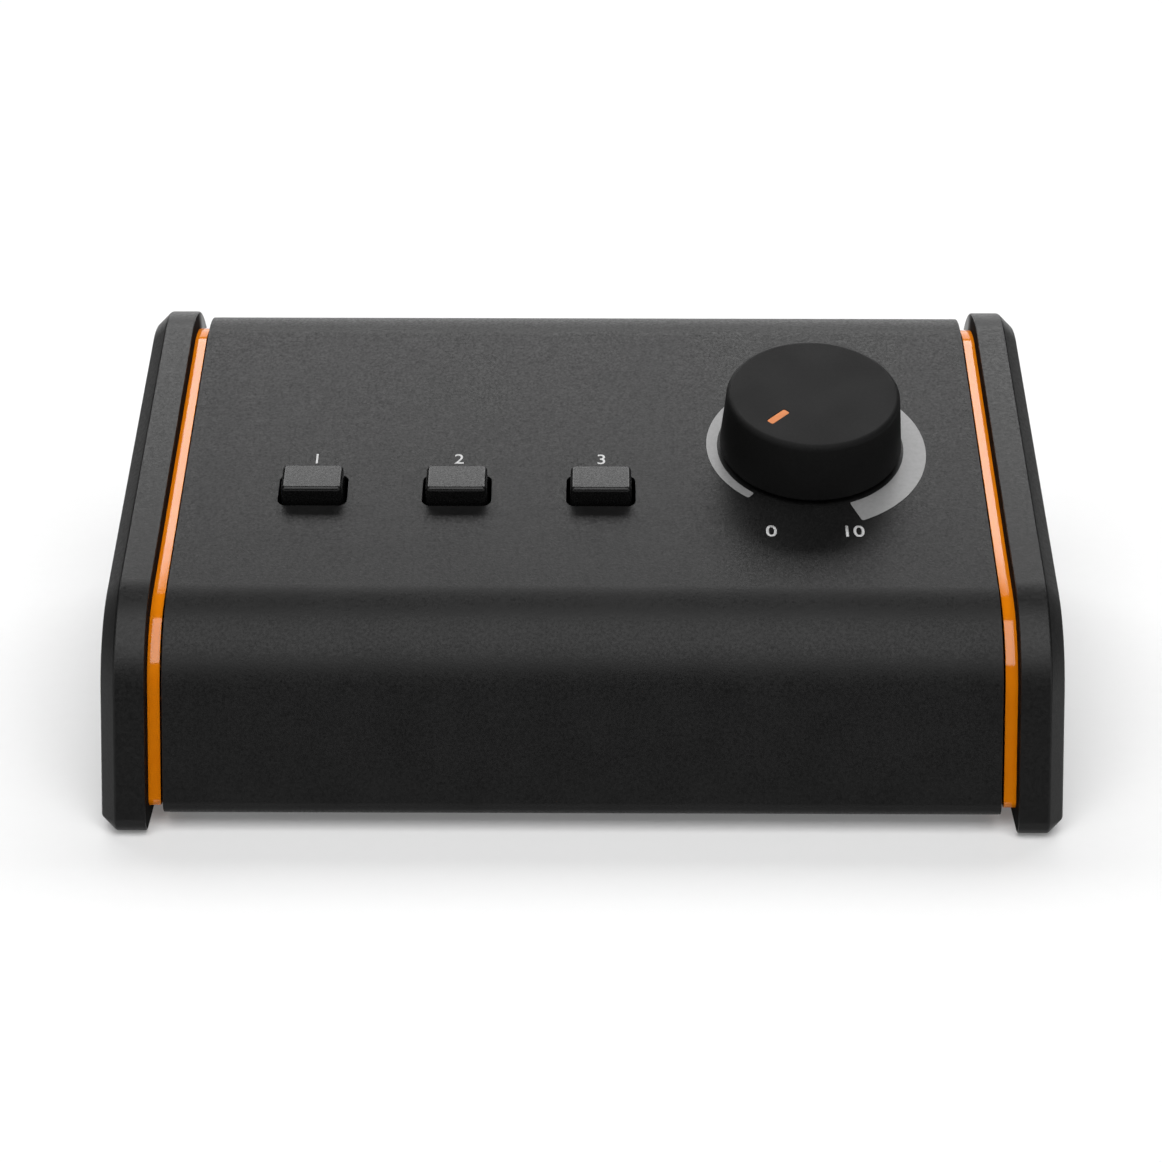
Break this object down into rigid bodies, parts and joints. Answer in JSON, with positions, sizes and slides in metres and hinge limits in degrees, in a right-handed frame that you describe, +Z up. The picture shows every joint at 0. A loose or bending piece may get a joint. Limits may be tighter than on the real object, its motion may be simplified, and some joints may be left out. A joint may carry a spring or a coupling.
{
  "type": "studio monitor controller",
  "caption": "Sloped desktop controller for studio monitors, with push switches, a large volume dial, side cheeks and a rear socket panel.",
  "frame": {"origin": "middle of the footprint, on the desk", "axes": "+X to the right seen from the front, +Y to the rear, +Z up"},
  "size_m": [0.142, 0.098, 0.0547],
  "materials": {
    "cover_paint": "satin charcoal powder coat with a fine grain",
    "zinc_steel": "zinc-plated steel",
    "panel_paint": "satin charcoal powder coat",
    "cheek_black": "matt black, fine grain",
    "trim_orange": "glossy orange",
    "black_screw": "black oxide",
    "foot_rubber": "matt",
    "board_green": "solder-masked glass-epoxy board",
    "brass": "turned",
    "resistor_body": "lacquered",
    "housing_black": "moulded",
    "ribbon_grey": "flat cable",
    "nickel": "nickel plate",
    "socket_metal": "black-coated die casting",
    "wiper_plastic": "natural moulding",
    "dial_black": "soft-touch",
    "pointer_orange": "inlaid line",
    "button_black": "moulded gloss"
  },
  "bodies": {
    "case": {"top_cover": "cover_paint", "left_cover_bracket": "zinc_steel", "right_cover_bracket": "zinc_steel", "base_tray": "zinc_steel", "rear_panel": "panel_paint", "left_cheek": "cheek_black", "right_cheek": "cheek_black", "left_trim": "trim_orange", "right_trim": "trim_orange", "cheek_screws": "black_screw", "tray_press_nuts": "zinc_steel", "base_screws": "black_screw", "rubber_feet": "foot_rubber", "control_board": "board_green", "control_standoffs": "brass", "control_screws": "zinc_steel", "resistors": "resistor_body", "io_board": "board_green", "io_standoffs": "brass", "io_screws": "zinc_steel", "link_headers": "housing_black", "link_ribbon": "ribbon_grey", "left_input_jack": "housing_black", "right_input_jack": "housing_black", "aux_input_jack": "housing_black", "jack_nuts": "nickel", "left_output_socket": "socket_metal", "right_output_socket": "socket_metal", "output_inserts": "housing_black", "output_pins": "nickel", "output_screws": "black_screw", "pot_body": "nickel", "pot_washer": "nickel", "pot_nut": "nickel", "left_switch": "housing_black", "middle_switch": "housing_black", "right_switch": "housing_black", "left_switch_spring": "zinc_steel", "middle_switch_spring": "zinc_steel", "right_switch_spring": "zinc_steel"},
    "volume_dial": {"dial": "dial_black", "dial_insert": "brass", "dial_pointer": "pointer_orange", "pot_shaft": "nickel", "pot_wiper": "wiper_plastic"},
    "left_push_button": {"left_button": "button_black", "left_switch_stem": "wiper_plastic"},
    "middle_push_button": {"middle_button": "button_black", "middle_switch_stem": "wiper_plastic"},
    "right_push_button": {"right_button": "button_black", "right_switch_stem": "wiper_plastic"}
  },
  "joints": [
    {"name": "dial_turn", "type": "hinge", "parent": "case", "child": "volume_dial", "pos_m": [0.0355, 0.00246, 0.04092], "axis": [0, 0.2756, -0.9613], "range_deg": [-14.5, 285.5]},
    {"name": "left_button_press", "type": "slide", "parent": "case", "child": "left_push_button", "axis": [0, 0.2756, -0.9613], "range_m": [0, 0.002], "stiffness_N_per_m": 400, "deforming": ["left_switch_spring"]},
    {"name": "middle_button_press", "type": "slide", "parent": "case", "child": "middle_push_button", "axis": [0, 0.2756, -0.9613], "range_m": [0, 0.002], "stiffness_N_per_m": 400, "deforming": ["middle_switch_spring"]},
    {"name": "right_button_press", "type": "slide", "parent": "case", "child": "right_push_button", "axis": [0, 0.2756, -0.9613], "range_m": [0, 0.002], "stiffness_N_per_m": 400, "deforming": ["right_switch_spring"]}
  ]
}
